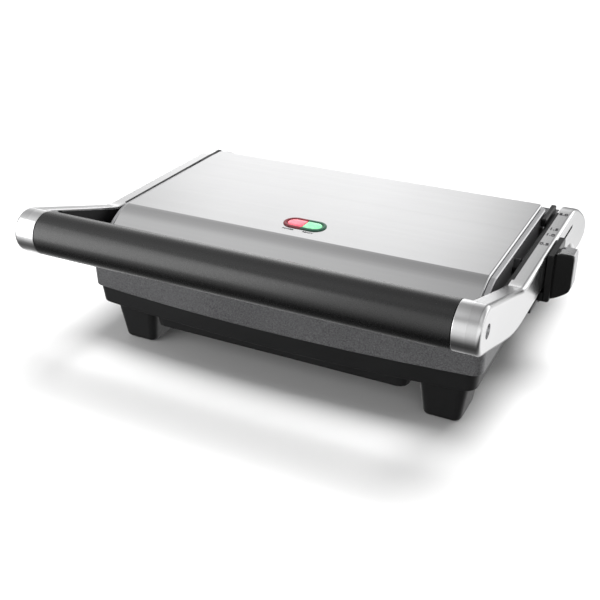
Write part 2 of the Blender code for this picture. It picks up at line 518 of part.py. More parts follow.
def lid():
    # stainless skin: top, front slope and turned-down edges
    skin = lid_block("lid_cover", SKIN_HALF, LID_REAR, 9, 91.9, lid_profile(0), look="steel")
    bevel(skin, 1.4, 2, 60)
    inner = lid_block("skin_hollow", SKIN_HALF - 1.2, LID_REAR - 1.2, 7.8, 85.0, lid_profile(1.2), cutter=True)
    cut(skin, inner)
    cut(skin, prism("lamp_window", pill(LAMP_X, LAMP_Y, LAMP_L - 4.4, LAMP_W - 4.4, 6), "XY", 112, 122, TILT,
                    cutter=True))

    # side frame: a ring outside the skin, with a flange under it that carries the plate
    frame = lid_block("lid_housing", LID_HALF, 258.6, 11, LID_BOT,
                      [(270, 60), (270, 115.8), (98, 116.2), (90, 114.2), (82, 110.4), (72, 104.0), (62, 96.9),
                       (55.4, 91.8), (53.8, 90.0), (53.6, 88.0), (53.6, 60)], look="silver_paint")
    bevel(frame, 1.2, 1, 60)
    cut(frame, lid_block("frame_hollow", SKIN_HALF + GAP, LID_REAR + GAP, 9.3, 91.6,
                         [(270, 60), (270, 126), (55.7, 126), (55.7, 60)], cutter=True))
    cut(frame, prism("plate_opening", round_rect(-PLATE_HALF - 0.5, PLATE_FRONT - 0.5, PLATE_HALF + 0.5,
                                                 PLATE_REAR + 0.5, 4, 2), "XY", 80, 100, TILT, cutter=True))
    for side, s in (("left", -1), ("right", 1)):
        a, b = sorted((s * (LID_HALF - 1.0), s * (LID_HALF + 3.4)))
        add(frame, box("tilt_lug_" + side, (a, 244.0, 96.9), (b, 250.0, 100.5), TILT, cutter=True))
        cut(frame, rod("frame_pin_hole_" + side, (s * 166, PIVOT_Y, PIVOT_Z), "X", PIVOT_R + 0.1, 8, 24, TILT,
                       cutter=True))
        cut(skin, rod("skin_pin_hole_" + side, (s * 164, PIVOT_Y, PIVOT_Z), "X", PIVOT_R + 0.1, 8, 24, TILT,
                      cutter=True))
        # trunnion with an inner head, and the spacer between lid and arm
        pin = rod("pivot_pin_" + side, (s * 172.2, PIVOT_Y, PIVOT_Z), "X", PIVOT_R, 23.6, 24, TILT)
        add(pin, rod("pivot_head_" + side, (s * 160.8, PIVOT_Y, PIVOT_Z), "X", 6.5, 3.2, 20, TILT, cutter=True))
        turned("pivot_spacer_" + side, [(6.6, 2.3), (6.6, -2.3), (4.15, -2.3), (4.15, 2.3)],
               (s * 171.2, PIVOT_Y, PIVOT_Z), "X", 24, TILT, "black_plastic")

    # ribbed upper plate: a comb profile, the ribs running front to back
    pitch, rib, foot = 12.0, 3.4, 2.0
    comb = [(PLATE_HALF, 97.0), (-PLATE_HALF, 97.0), (-PLATE_HALF, 92.0)]
    n = int(2 * (PLATE_HALF - 6) // pitch)
    for i in range(n + 1):
        x = -n * pitch / 2 + i * pitch
        comb += [(x - rib, 92.0), (x - foot, 88.9), (x + foot, 88.9), (x + rib, 92.0)]
    comb += [(PLATE_HALF, 92.0)]
    prism("upper_plate", comb, "XZ", PLATE_FRONT, PLATE_REAR, TILT, "cast")

    tube("upper_element", element(100.6), 3.2, TILT, "zinc")
    shield = box("upper_heat_shield", (-140, 92, 104.2), (140, 236, 107.2), TILT, "zinc")
    cut(shield, box("upper_shield_hollow", (-139.2, 92.8, 103), (139.2, 235.2, 106.4), TILT, cutter=True))
    stat = rod("upper_thermostat", (34, 176, 111.2), "Z", 8.5, 7.0, 20, TILT, "zinc")
    add(stat, box("upper_thermostat_tabs", (18, 173, 109.6), (50, 179, 110.6), TILT, cutter=True))
    rod("thermal_fuse", (-60, 176, 110.2), "X", 2.2, 18, 12, TILT, "brass")

    # twin lamp: bezel, two lenses and the small board under them
    bezel = prism("lamp_bezel", [pill(LAMP_X, LAMP_Y, LAMP_L, LAMP_W, 8),
                                 pill(LAMP_X, LAMP_Y, LAMP_L - 6.7, LAMP_W - 6.7, 8)], "XY", LID_TOP + 0.2,
                  LID_TOP + 1.1, TILT, "black_plastic")
    add(bezel, prism("bezel_sleeve", [pill(LAMP_X, LAMP_Y, LAMP_L - 5.0, LAMP_W - 5.0, 8),
                                      pill(LAMP_X, LAMP_Y, LAMP_L - 6.5, LAMP_W - 6.5, 8)], "XY", 113.4,
                     LID_TOP + 0.7, TILT, cutter=True))
    whole = pill(LAMP_X, LAMP_Y, LAMP_L - 7.2, LAMP_W - 7.2, 8)
    for name, s in (("lens_red", -1), ("lens_green", 1)):
        half = [(x, y) for x, y in whole if s * (x - LAMP_X) > 0]
        edge = LAMP_X + s * 0.25
        r = (LAMP_W - 7.2) / 2
        half = half + ([(edge, LAMP_Y + r), (edge, LAMP_Y - r)] if s > 0 else [(edge, LAMP_Y - r), (edge, LAMP_Y + r)])
        prism(name, half, "XY", 113.6, LID_TOP + 0.9, TILT, "red_lens" if s < 0 else "green_lens")
    board = box("lamp_board", (LAMP_X - 24, LAMP_Y - 10, 111.2), (LAMP_X + 24, LAMP_Y + 10, 112.8), TILT, "board")
    cut(board, rod("board_hole", (LAMP_X - 20, LAMP_Y, 112), "Z", 1.6, 5, 10, TILT, cutter=True))


# ---------------------------------------------------------------- height slider on the right arm
def slider():
    y0, y1 = SLIDER_Y0, SLIDER_Y1
    # plate along the arm, with a foot under the arm
    body = prism("slider_body", [(ARM_OUT + 0.4, 111.4), (ARM_OUT + 0.4, SLIDER_FOOT_Z), (194.4, SLIDER_FOOT_Z),
                                 (196.0, 71.4), (196.0, 111.4)], "XZ", y0, y1, SLIDE)
    add(body, box("slider_foot", (179.0, y0 + 0.4, SLIDER_FOOT_Z), (192.4, y0 + 23.4, 77.9), SLIDE, cutter=True))
    # the lever that the hand moves: a front face, and a core inside the cap
    add(body, prism("lever_face", [(193.4, SLIDER_FOOT_Z + 0.1), (198.8, 72.0), (207.6, 77.8), (210.5, 81.6),
                                   (210.5, 110.0), (209.0, 111.6), (195.0, 111.6), (193.4, 100)], "XZ", 171.6, 174.3,
                    SLIDE, cutter=True))
    add(body, prism("lever_core", [(193.8, SLIDER_FOOT_Z + 0.6), (198.7, 72.3), (207.0, 78.0), (208.9, 80.9),
                                   (208.9, 110.2), (194.8, 110.2), (193.8, 101)], "XZ", 173.6, 186.6, SLIDE,
                    cutter=True))
    add(body, box("guide_key", (186.2, 179.2, 97.3), (191.0, 195.8, 99.5), SLIDE, cutter=True))
    cut(body, box("detent_pocket", (188.0, 197.6, 86.0), (193.0, 204.6, 94.0), SLIDE, cutter=True))

    # bright cap over the lever: top, outer side and back
    cap = prism("slider_cap", [(196.3, 111.8), (209.2, 111.8), (WIDTH_MAX_X, 110.2), (WIDTH_MAX_X, 84.0),
                               (210.0, 81.2), (196.3, 81.2)], "XZ", 174.6, 189.0, SLIDE, "steel")
    cut(cap, box("cap_hollow", (190, 170, 70), (209.3, 186.9, 110.5), SLIDE, cutter=True))

    # bent leaf that clicks into the arm at each setting
    prism("detent_leaf", [(190.45, 198.0), (190.45, 200.2), (192.0, 201.1), (190.45, 202.0), (190.45, 204.2),
                          (190.95, 204.2), (190.95, 202.3), (192.65, 201.1), (190.95, 199.9), (190.95, 198.0)],
          "XY", 86.4, 93.6, SLIDE, "steel")


base()
arms()
lid()
slider()
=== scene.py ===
"""Panini press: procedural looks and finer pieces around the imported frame."""
import bmesh
import bpy
import math
from mathutils import Matrix, Vector


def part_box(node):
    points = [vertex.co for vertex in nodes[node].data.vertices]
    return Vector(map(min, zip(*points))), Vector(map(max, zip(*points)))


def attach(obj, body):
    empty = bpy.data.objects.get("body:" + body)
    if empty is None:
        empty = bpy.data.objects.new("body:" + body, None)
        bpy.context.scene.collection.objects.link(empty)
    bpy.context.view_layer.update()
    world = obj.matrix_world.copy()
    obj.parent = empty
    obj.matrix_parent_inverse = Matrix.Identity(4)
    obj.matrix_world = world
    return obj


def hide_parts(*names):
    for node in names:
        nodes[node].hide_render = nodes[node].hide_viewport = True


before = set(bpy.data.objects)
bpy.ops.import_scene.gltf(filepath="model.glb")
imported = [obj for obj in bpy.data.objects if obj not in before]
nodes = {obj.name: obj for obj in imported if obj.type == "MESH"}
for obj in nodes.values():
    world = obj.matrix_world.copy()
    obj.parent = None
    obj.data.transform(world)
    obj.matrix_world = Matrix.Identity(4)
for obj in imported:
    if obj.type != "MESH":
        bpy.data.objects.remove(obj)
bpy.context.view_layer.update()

scene = bpy.context.scene
scene.view_settings.view_transform = "Standard"


def centre(name):
    lo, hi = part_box(name)
    return [(a + b) / 2 for a, b in zip(lo, hi)]


# Sizes below are in millimetres from the handle's axis (y), the arms' mirror plane (x) and the table (z).
ORIGIN = centre("handle_grip")
X0, Y0 = ORIGIN[0], ORIGIN[1]


def W(x, y, z):
    return Vector((X0 + x / 1000, Y0 + y / 1000, z / 1000))


def span(name, axis):
    """A node's extent along an axis, in the millimetres used here."""
    lo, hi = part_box(name)
    off = (X0, Y0, 0)[axis]
    return (lo[axis] - off) * 1000, (hi[axis] - off) * 1000


HANDLE_Z = ORIGIN[2] * 1000
HANDLE_R = (span("handle_grip", 2)[1] - span("handle_grip", 2)[0]) / 2
GRIP_HALF = span("handle_grip", 0)[1]
ARM_OUT = span("arm_right", 0)[1]
LID_TOP = span("lid_cover", 2)[1]
ARM_IN = 176.3
ARM_TOP = 111.2
ARM_BOT = 80.2
ARM_REAR = span("arm_right", 1)[1]

# ------------------------------------------------------------------ node helpers


def tree(name):
    m = bpy.data.materials.new(name)
    m.use_nodes = True
    return m, m.node_tree, m.node_tree.nodes["Principled BSDF"]


def node(t, kind, **props):
    n = t.nodes.new(kind)
    for k, v in props.items():
        setattr(n, k, v)
    return n


def link(t, a, b):
    t.links.new(a, b)


def coords(t, scale=(1, 1, 1)):
    tc = node(t, "ShaderNodeTexCoord")
    mp = node(t, "ShaderNodeMapping")
    mp.inputs["Scale"].default_value = scale
    link(t, tc.outputs["Object"], mp.inputs["Vector"])
    return mp.outputs["Vector"]


def noise(t, vec, scale, detail=3.0, rough=0.55):
    n = node(t, "ShaderNodeTexNoise")
    n.inputs["Scale"].default_value = scale
    n.inputs["Detail"].default_value = detail
    n.inputs["Roughness"].default_value = rough
    link(t, vec, n.inputs["Vector"])
    return n.outputs["Fac"]


def ramp(t, fac, stops):
    r = node(t, "ShaderNodeValToRGB")
    while len(r.color_ramp.elements) < len(stops):
        r.color_ramp.elements.new(0.5)
    for e, (p, c) in zip(r.color_ramp.elements, stops):
        e.position = p
        e.color = (*c, 1) if isinstance(c, tuple) else (c, c, c, 1)
    link(t, fac, r.inputs["Fac"])
    return r.outputs["Color"]


def remap(t, fac, a, b, lo=0.0, hi=1.0):
    m = node(t, "ShaderNodeMapRange")
    m.inputs["From Min"].default_value = lo
    m.inputs["From Max"].default_value = hi
    m.inputs["To Min"].default_value = a
    m.inputs["To Max"].default_value = b
    link(t, fac, m.inputs["Value"])
    return m.outputs["Result"]


def bump(t, s, height, strength, dist):
    b = node(t, "ShaderNodeBump")
    b.inputs["Strength"].default_value = strength
    b.inputs["Distance"].default_value = dist
    link(t, height, b.inputs["Height"])
    link(t, b.outputs["Normal"], s.inputs["Normal"])


def brushed(name, colour, rough, along="X", spread=0.10, metal=1.0, depth=0.00002, strength=0.35):
    """Metal with fine lines along one axis, uneven in gloss and slightly in tone."""
    m, t, s = tree(name)
    k = {"X": (3, 900, 900), "Y": (900, 3, 900), "Z": (900, 900, 3)}[along]
    lines = noise(t, coords(t, k), 1.0, 4.0, 0.65)
    k2 = {"X": (1.2, 130, 130), "Y": (130, 1.2, 130), "Z": (130, 130, 1.2)}[along]
    broad = noise(t, coords(t, k2), 1.0, 2.0)
    cloud = noise(t, coords(t), 14.0, 2.0)
    mix = node(t, "ShaderNodeMath", operation="ADD")
    link(t, lines, mix.inputs[0])
    link(t, broad, mix.inputs[1])
    half = node(t, "ShaderNodeMath", operation="MULTIPLY")
    link(t, mix.outputs[0], half.inputs[0])
    half.inputs[1].default_value = 0.5
    link(t, ramp(t, half.outputs[0], [(0.3, tuple(c * 0.965 for c in colour)), (0.7, tuple(min(1, c * 1.02) for c in colour))]),
         s.inputs["Base Color"])
    r = node(t, "ShaderNodeMath", operation="ADD")
    link(t, remap(t, half.outputs[0], rough - spread / 2, rough + spread / 2, 0.3, 0.7), r.inputs[0])
    link(t, remap(t, cloud, -0.03, 0.03, 0.3, 0.7), r.inputs[1])
    link(t, r.outputs[0], s.inputs["Roughness"])
    s.inputs["Metallic"].default_value = metal
    bump(t, s, lines, strength, depth)
    return m


def grained(name, colour, rough, size=900.0, depth=0.00006, strength=0.4, tone=0.25, spec=0.5, coat=0.0):
    """Moulded plastic: a fine pebble grain with small changes of tone and gloss."""
    m, t, s = tree(name)
    vec = coords(t)
    v = node(t, "ShaderNodeTexVoronoi", feature="SMOOTH_F1")
    v.inputs["Scale"].default_value = size
    link(t, vec, v.inputs["Vector"])
    n = noise(t, vec, size * 0.35, 3.0)
    big = noise(t, vec, 26.0, 3.0)
    link(t, ramp(t, big, [(0.3, tuple(c * (1 - tone) for c in colour)), (0.7, tuple(c * (1 + tone) for c in colour))]),
         s.inputs["Base Color"])
    link(t, remap(t, n, rough - 0.06, rough + 0.06, 0.25, 0.75), s.inputs["Roughness"])
    s.inputs["Specular IOR Level"].default_value = spec
    s.inputs["Coat Weight"].default_value = coat
    s.inputs["Coat Roughness"].default_value = 0.25
    bump(t, s, v.outputs["Distance"], strength, depth)
    return m


def speckled(name, dark, light, rough):
    """Charcoal plastic with fine metallic flecks."""
    m, t, s = tree(name)
    vec = coords(t)
    fine = noise(t, vec, 2300.0, 2.0, 0.7)
    mid = noise(t, vec, 850.0, 3.0, 0.7)
    cloud = noise(t, vec, 9.0, 2.0)
    mul = node(t, "ShaderNodeMath", operation="MULTIPLY")
    link(t, fine, mul.inputs[0])
    link(t, mid, mul.inputs[1])
    add = node(t, "ShaderNodeMath", operation="ADD")
    link(t, mul.outputs[0], add.inputs[0])
    link(t, remap(t, cloud, -0.03, 0.03, 0.3, 0.7), add.inputs[1])
    link(t, ramp(t, add.outputs[0], [(0.14, dark), (0.27, tuple((a + b) / 2 for a, b in zip(dark, light))), (0.42, light)]),
         s.inputs["Base Color"])
    link(t, remap(t, fine, rough - 0.12, rough + 0.08, 0.3, 0.7), s.inputs["Roughness"])
    s.inputs["Metallic"].default_value = 0.8
    bump(t, s, mid, 0.35, 0.00008)
    return m


MAT = {
    "lid": brushed("stainless_brushed", (0.74, 0.74, 0.745), 0.165, "X", spread=0.025, strength=0.08),
    "arm": brushed("arm_satin_metal", (0.84, 0.84, 0.845), 0.23, "Y", spread=0.03, strength=0.06),
    "end": brushed("arm_end_metal", (0.93, 0.93, 0.935), 0.17, "X", spread=0.03, strength=0.06),
    "cap": brushed("cap_metal", (0.72, 0.72, 0.73), 0.30, "Z"),
    "frame": brushed("frame_silver_paint", (0.50, 0.50, 0.51), 0.34, "Y", metal=0.85, strength=0.12),
    "grip": grained("grip_soft_touch", (0.0026, 0.0026, 0.0028), 0.29, 1300.0, 0.000005, 0.04, 0.2, 0.8, 0.15),
    "black": grained("black_moulded", (0.003, 0.003, 0.0034), 0.42, 900.0, 0.00005, 0.35, 0.25, 0.35),
    "gloss": grained("black_satin", (0.0018, 0.0018, 0.0018), 0.22, 500.0, 0.00001, 0.08, 0.2, 0.3),
    "band": speckled("band_speckled", (0.085, 0.086, 0.090), (0.27, 0.27, 0.275), 0.44),
    "tier": grained("tier_dark", (0.0034, 0.0036, 0.0040), 0.46, 800.0, 0.00006, 0.4, 0.25, 0.5),
    "plate": grained("plate_coated_cast", (0.022, 0.022, 0.023), 0.42, 420.0, 0.00010, 0.5, 0.25, 0.6),
    "rubber": grained("pad_rubber", (0.014, 0.014, 0.014), 0.85, 700.0, 0.00010, 0.6, 0.2, 0.3),
    "zinc": brushed("zinc_plate", (0.56, 0.57, 0.58), 0.38, "X", strength=0.15),
    "brass": brushed("bush_brass", (0.72, 0.50, 0.20), 0.32, "X"),
    "nylon": grained("nylon_pale", (0.66, 0.65, 0.60), 0.5, 500.0, 0.00005, 0.3, 0.05, 0.5),
    "board": grained("board_green", (0.02, 0.16, 0.07), 0.5, 300.0, 0.00004, 0.3, 0.2, 0.5),
    "mark": grained("mark_ink", (0.016, 0.016, 0.018), 0.5, 900.0, 0.00002, 0.2, 0.15, 0.4),
    "ring_red": grained("lamp_ring_red", (0.13, 0.012, 0.018), 0.35, 700.0, 0.00003, 0.2, 0.2, 0.5),
    "ring_green": grained("lamp_ring_green", (0.012, 0.060, 0.035), 0.35, 700.0, 0.00003, 0.2, 0.2, 0.5),
}


def lens_material(name, inner, outer, glow):
    m, t, s = tree(name)
    vec = coords(t)
    n = noise(t, vec, 160.0, 2.0)
    link(t, ramp(t, n, [(0.35, outer), (0.65, inner)]), s.inputs["Base Color"])
    link(t, remap(t, n, 0.10, 0.2, 0.3, 0.7), s.inputs["Roughness"])
    link(t, ramp(t, n, [(0.35, outer), (0.65, inner)]), s.inputs["Emission Color"])
    s.inputs["Emission Strength"].default_value = glow
    s.inputs["Coat Weight"].default_value = 0.35
    s.inputs["Coat Roughness"].default_value = 0.06
    return m


MAT["red"] = lens_material("lens_red_tint", (0.80, 0.16, 0.20), (0.66, 0.09, 0.13), 0.22)
MAT["green"] = lens_material("lens_green_tint", (0.24, 0.62, 0.34), (0.13, 0.48, 0.24), 0.2)


def dress(obj, mat):
    obj.data.materials.clear()
    obj.data.materials.append(MAT[mat])


# ------------------------------------------------------------------ geometry helpers (millimetres)
PUT = {"XY": lambda u, v, h: (u, v, h), "YZ": lambda u, v, h: (h, u, v), "XZ": lambda u, v, h: (u, h, v)}


def arc(cx, cy, r, a0, a1, n):
    return [(cx + r * math.cos(math.radians(a0 + (a1 - a0) * i / n)),
             cy + r * math.sin(math.radians(a0 + (a1 - a0) * i / n))) for i in range(n + 1)]


def round_rect(x0, y0, x1, y1, r, n=10):
    pts = []
    for cx, cy, a in ((x1 - r, y0 + r, -90), (x1 - r, y1 - r, 0), (x0 + r, y1 - r, 90), (x0 + r, y0 + r, 180)):
        pts += arc(cx, cy, r, a, a + 90, n)
    return pts


def bowed_rect(x0, y0, x1, y1, r, n, bow):
    pts = round_rect(x0, y0, x1, y1, r, n)
    steps = 60
    pts += [(x0 + r + (x1 - x0 - 2 * r) * i / steps, y0) for i in range(1, steps)]
    mid, half = (x0 + x1) / 2, (x1 - x0) / 2
    return [(x, y - bow * (1 - ((x - mid) / half) ** 2) if y < (y0 + y1) / 2 else y) for x, y in pts]


def pill(cx, cy, length, width, n=28):
    r = width / 2
    h = length / 2 - r
    return arc(cx + h, cy, r, -90, 90, n) + arc(cx - h, cy, r, 90, 270, n)


def area(pts):
    return sum(a[0] * b[1] - b[0] * a[1] for a, b in zip(pts, pts[1:] + pts[:1])) / 2


def chaikin(pts, times=2, keep=0.25):
    """Rounds a closed outline's corners; long straight runs stay straight."""
    for _ in range(times):
        out = []
        for a, b in zip(pts, pts[1:] + pts[:1]):
            d = math.hypot(b[0] - a[0], b[1] - a[1])
            k = min(keep, 2.5 / d) if d > 1e-6 else keep
            out.append((a[0] + (b[0] - a[0]) * k, a[1] + (b[1] - a[1]) * k))
            out.append((b[0] - (b[0] - a[0]) * k, b[1] - (b[1] - a[1]) * k))
        pts = out
    return pts


def inset(pts, d):
    """Moves a counter-clockwise outline inwards by d."""
    out = []
    n = len(pts)
    for i in range(n):
        p, a, b = Vector(pts[i]), Vector(pts[i - 1]), Vector(pts[(i + 1) % n])
        e1, e2 = (p - a), (b - p)
        if e1.length < 1e-7 or e2.length < 1e-7:
            out.append(tuple(p))
            continue
        e1.normalize(); e2.normalize()
        nrm = Vector((-e1.y, e1.x)) + Vector((-e2.y, e2.x))
        L = nrm.length
        if L < 1e-6:
            out.append(tuple(p))
            continue
        nrm /= L
        out.append((p.x + nrm.x * d / max(0.45, L / 2), p.y + nrm.y * d / max(0.45, L / 2)))
    return out


def rings_for(lo, hi, r_lo, r_hi, seg):
    """(inset, height) pairs of an extrusion with rounded ends."""
    out = []
    if r_lo > 0:
        for i in range(seg + 1):
            a = math.pi / 2 * i / seg
            out.append((r_lo * (1 - math.sin(a)), lo + r_lo * (1 - math.cos(a))))
    else:
        out.append((0, lo))
    if r_hi > 0:
        for i in range(seg + 1):
            a = math.pi / 2 * i / seg
            out.append((r_hi * (1 - math.cos(a)), hi - r_hi * (1 - math.sin(a))))
    else:
        out.append((0, hi))
    return out


def to_object(name, bm, angle=38):
    bmesh.ops.recalc_face_normals(bm, faces=bm.faces)
    me = bpy.data.meshes.new(name)
    bm.to_mesh(me)
    bm.free()
    o = bpy.data.objects.new(name, me)
    scene.collection.objects.link(o)
    me.shade_smooth()
    me.set_sharp_from_angle(angle=math.radians(angle))
    return o


def loft(name, outline, plane, rings, warp=None, angle=38):
    """A closed solid through insets of one outline at several heights."""
    if area(outline) < 0:
        outline = outline[::-1]
    bm = bmesh.new()
    prev = None
    for k, (d, h) in enumerate(rings):
        ring = []
        for u, v in (inset(outline, d) if abs(d) > 1e-6 else outline):
            if warp:
                u, v = warp(u, v, h)
            ring.append(bm.verts.new(W(*PUT[plane](u, v, h))))
        if prev:
            for i in range(len(ring)):
                j = (i + 1) % len(ring)
                bm.faces.new((prev[i], prev[j], ring[j], ring[i]))
        else:
            bm.faces.new(ring[::-1])
        prev = ring
    bm.faces.new(prev)
    return to_object(name, bm, angle)


def solid(name, outline, plane, lo, hi, r_lo=0.0, r_hi=0.0, seg=5, warp=None, angle=38):
    return loft(name, outline, plane, rings_for(lo, hi, r_lo, r_hi, seg), warp, angle)


def boxed(name, lo, hi, r=0.0):
    return solid(name, [(lo[0], lo[1]), (hi[0], lo[1]), (hi[0], hi[1]), (lo[0], hi[1])], "XY", lo[2], hi[2], r, r, 2)


def boolean(obj, others, how="DIFFERENCE"):
    for o in others:
        m = obj.modifiers.new("b", "BOOLEAN")
        m.operation = how
        m.object = o
        m.solver = "EXACT"
        dg = bpy.context.evaluated_depsgraph_get()
        me = bpy.data.meshes.new_from_object(obj.evaluated_get(dg))
        obj.modifiers.clear()
        if not me.polygons:
            raise ValueError("a cut left nothing of " + obj.name)
        old = obj.data
        obj.data = me
        bpy.data.meshes.remove(old)
        bpy.data.objects.remove(o, do_unlink=True)
    obj.data.shade_smooth()
    obj.data.set_sharp_from_angle(angle=math.radians(38))
    return obj


def weighted(obj):
    m = obj.modifiers.new("normals", "WEIGHTED_NORMAL")
    m.keep_sharp = True
    m.weight = 60
    return obj


def show(obj, mat, body, stands_for=()):
    dress(obj, mat)
    obj.name = obj.name
    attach(obj, body)
    if stands_for:
        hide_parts(*([stands_for] if isinstance(stands_for, str) else stands_for))
    return obj


# ------------------------------------------------------------------ handle and arms
circle = [(HANDLE_R * math.cos(2 * math.pi * i / 160), HANDLE_Z + HANDLE_R * math.sin(2 * math.pi * i / 160))
          for i in range(160)]
grip = weighted(solid("grip_sleeve", circle, "YZ", -GRIP_HALF, GRIP_HALF, 0.7, 0.7, 4))
show(grip, "grip", "handle_frame", "handle_grip")

top = [(101.5, 111.6), (96, 112.9), (88, 115.6)]
end = arc(0, HANDLE_Z, HANDLE_R, 71.8, 250.9, 44)
low = [(18, 101.9), (44, 92.8), (66, 85.8), (80, 82.4), (92, 80.9), (104, ARM_BOT)]
rear = [(258, ARM_BOT), (270, 77.4), (281, 71.4), (291, 64.0), (302, 59.4), (318, 57.4), (331, 58.2), (339, 61.6),
        (342.0, 66.0), (ARM_REAR, 70.2), (341, 74.5), (335, 80.2), (326, 86.6), (314, 93.8), (301, 100.8), (288, 106.4),
        (275, 109.8), (262, 111.0)]
arm_side = chaikin(top, 0) + end[1:-1] + low + rear + [(108, ARM_TOP)]


def soften(pts):
    """Rounds the outline's bends but leaves the round end's own points alone."""
    n_end = len(end) - 2
    head = pts[3:3 + n_end]
    rest = pts[3 + n_end:] + pts[:3]
    for _ in range(3):
        out = [rest[0]]
        for a, b in zip(rest, rest[1:]):
            d = math.hypot(b[0] - a[0], b[1] - a[1])
            k = min(0.25, 3.0 / d)
            out.append((a[0] + (b[0] - a[0]) * k, a[1] + (b[1] - a[1]) * k))
            out.append((b[0] - (b[0] - a[0]) * k, b[1] - (b[1] - a[1]) * k))
        out.append(rest[-1])
        rest = out
    return head + rest


arm_side = soften(arm_side)
for side, s in (("left", -1), ("right", 1)):
    edge_in, edge_out = 0.9, 3.6
    rings = rings_for(ARM_IN, ARM_OUT, edge_in, edge_out, 8)
    if s < 0:
        rings = [(d, -h) for d, h in rings]
    arm = loft("arm_body_" + side, arm_side, "YZ", rings)
    cuts = []
    a, b = sorted((s * (ARM_OUT - 2.4), s * (ARM_OUT + 3)))
    cuts.append(solid("recess", arc(0, HANDLE_Z, 5.3, 0, 354, 59), "YZ", a, b))
    a, b = sorted((s * 170, s * 186.6))
    cuts.append(solid("bore", arc(318, 76, 7.1, 0, 350, 35), "YZ", a, b))
    a, b = sorted((s * 170, s * 185))
    cuts.append(solid("pivot", arc(150, 104.5, 4.1, 0, 350, 35), "YZ", a, b))
    if s > 0:
        cuts.append(solid("slot", round_rect(178.4, 96.7, 266.1, 100.1, 1.6, 6), "YZ", 185.4, 195))
    boolean(arm, cuts)
    weighted(arm)
    show(arm, "arm", "handle_frame", "arm_" + side)
    # the turned end that carries the grip: same metal, brushed round its axis
    a, b = sorted((s * (GRIP_HALF + 0.4), s * (ARM_IN + 4)))
    ring = [(r * 1.0, h) for r, h in ((0.5, a), (0.12, a + 0.25), (0, a + 0.6), (0, b - 0.6), (0.12, b - 0.25), (0.5, b))]
    collar = loft("arm_end_" + side, [(y * (HANDLE_R + 0.03) / HANDLE_R, HANDLE_Z + (z - HANDLE_Z) * (HANDLE_R + 0.03) / HANDLE_R)
                                      for y, z in circle], "YZ", ring)
    weighted(collar)
    show(collar, "end", "handle_frame", ())

# settings marked on top of the right arm, beside the slider's track
def text_piece(name, body_text, x, y, z, size, body, thick=0.06, turn=0.0):
    cu = bpy.data.curves.new(name + "_c", "FONT")
    cu.body = body_text
    cu.size = size / 1000
    cu.align_x = "CENTER"
    cu.align_y = "CENTER"
    cu.extrude = thick / 1000
    cu.offset = 0.00009
    cu.resolution_u = 6
    tmp = bpy.data.objects.new(name + "_t", cu)
    scene.collection.objects.link(tmp)
    dg = bpy.context.evaluated_depsgraph_get()
    me = bpy.data.meshes.new_from_object(tmp.evaluated_get(dg))
    bpy.data.objects.remove(tmp, do_unlink=True)
    me.transform(Matrix.Translation(W(x, y, z)) @ Matrix.Rotation(math.radians(turn), 4, "Z"))
    bm = bmesh.new()
    bm.from_mesh(me)
    bmesh.ops.remove_doubles(bm, verts=bm.verts, dist=0.000002)
    bm.to_mesh(me)
    bm.free()
    o = bpy.data.objects.new(name, me)
    scene.collection.objects.link(o)
    show(o, "mark", body, ())
    return o


for i, (y, word) in enumerate(((187.5, "0.5"), (208.0, "1.0"), (221.0, "1.5"), (257.0, "2.0"))):
    text_piece("setting_%d" % (i + 1), word, 182.6, y, ARM_TOP + 0.02, 6.4, "handle_frame")

# painted shade: thin black strips along the inner top edge of each arm give the dark line of the shaded gap between arm
# and lid
for side, s in (("left", -1), ("right", 1)):
    a, b = sorted((s * (ARM_IN + 0.15), s * (ARM_IN + 2.0)))
    shade_strip = solid("gap_shade_strip_" + side, [(112.0, 107.0), (258.0, 107.0), (258.0, ARM_TOP + 0.12), (112.0, ARM_TOP + 0.12)], "YZ", a, b)
    show(shade_strip, "black", "handle_frame", ())

# ------------------------------------------------------------------ lid
bend = [(97.3, LID_TOP), (93.2, LID_TOP - 0.6), (89.2, LID_TOP - 1.8), (84.6, LID_TOP - 3.8), (78.8, 110.7), (72.6, 106.6),
        (63.5, 100.2), (58.6, 96.2), (56.6, 93.6), (56.0, 91.0), (56.0, 84.0)]


def open_smooth(pts, times=3):
    for _ in range(times):
        out = [pts[0]]
        for a, b in zip(pts, pts[1:]):
            out.append((a[0] * 0.75 + b[0] * 0.25, a[1] * 0.75 + b[1] * 0.25))
            out.append((a[0] * 0.25 + b[0] * 0.75, a[1] * 0.25 + b[1] * 0.75))
        out.append(pts[-1])
        pts = out
    return pts


def thin(pts, gap=0.35):
    out = [pts[0]]
    for p in pts[1:]:
        if math.hypot(p[0] - out[-1][0], p[1] - out[-1][1]) >= gap:
            out.append(p)
    return out


front = thin(open_smooth(bend)[:-1]) + [(56.0, 84.0)]
rear_edge = arc(256 - 2.2, LID_TOP - 2.2, 2.2, 0, 90, 8)
skin_side = front + [(256, 84.0)] + rear_edge + [(180, LID_TOP)]
skin = solid("lid_skin", skin_side, "YZ", -164, 164, 1.7, 1.7, 6)
boolean(skin, [solid("lid_plan", round_rect(-166, 30, 166, 256.3, 11, 14), "XY", 91.9, 130)], "INTERSECT")
cuts = []
inner_side = [(57.4, 80), (57.4, 92.6), (59.6, 95.0), (64.2, 98.9), (73.2, 105.3), (79.4, 109.3), (85.2, 112.4),
              (89.7, 115.2), (93.5, 116.4), (97.5, 117.0), (254.6, 117.0), (254.6, 80)]
cuts.append(solid("hollow", inner_side, "YZ", -162.8, 162.8))
cuts.append(solid("window", pill(-2, 122, 34.1, 15.6), "XY", 112, 122))
for s in (-1, 1):
    a, b = sorted((s * 158, s * 170))
    cuts.append(solid("pin_hole", arc(150, 104.5, 4.1, 0, 350, 35), "YZ", a, b))
boolean(skin, cuts)
weighted(skin)
show(skin, "lid", "lid", "lid_cover")

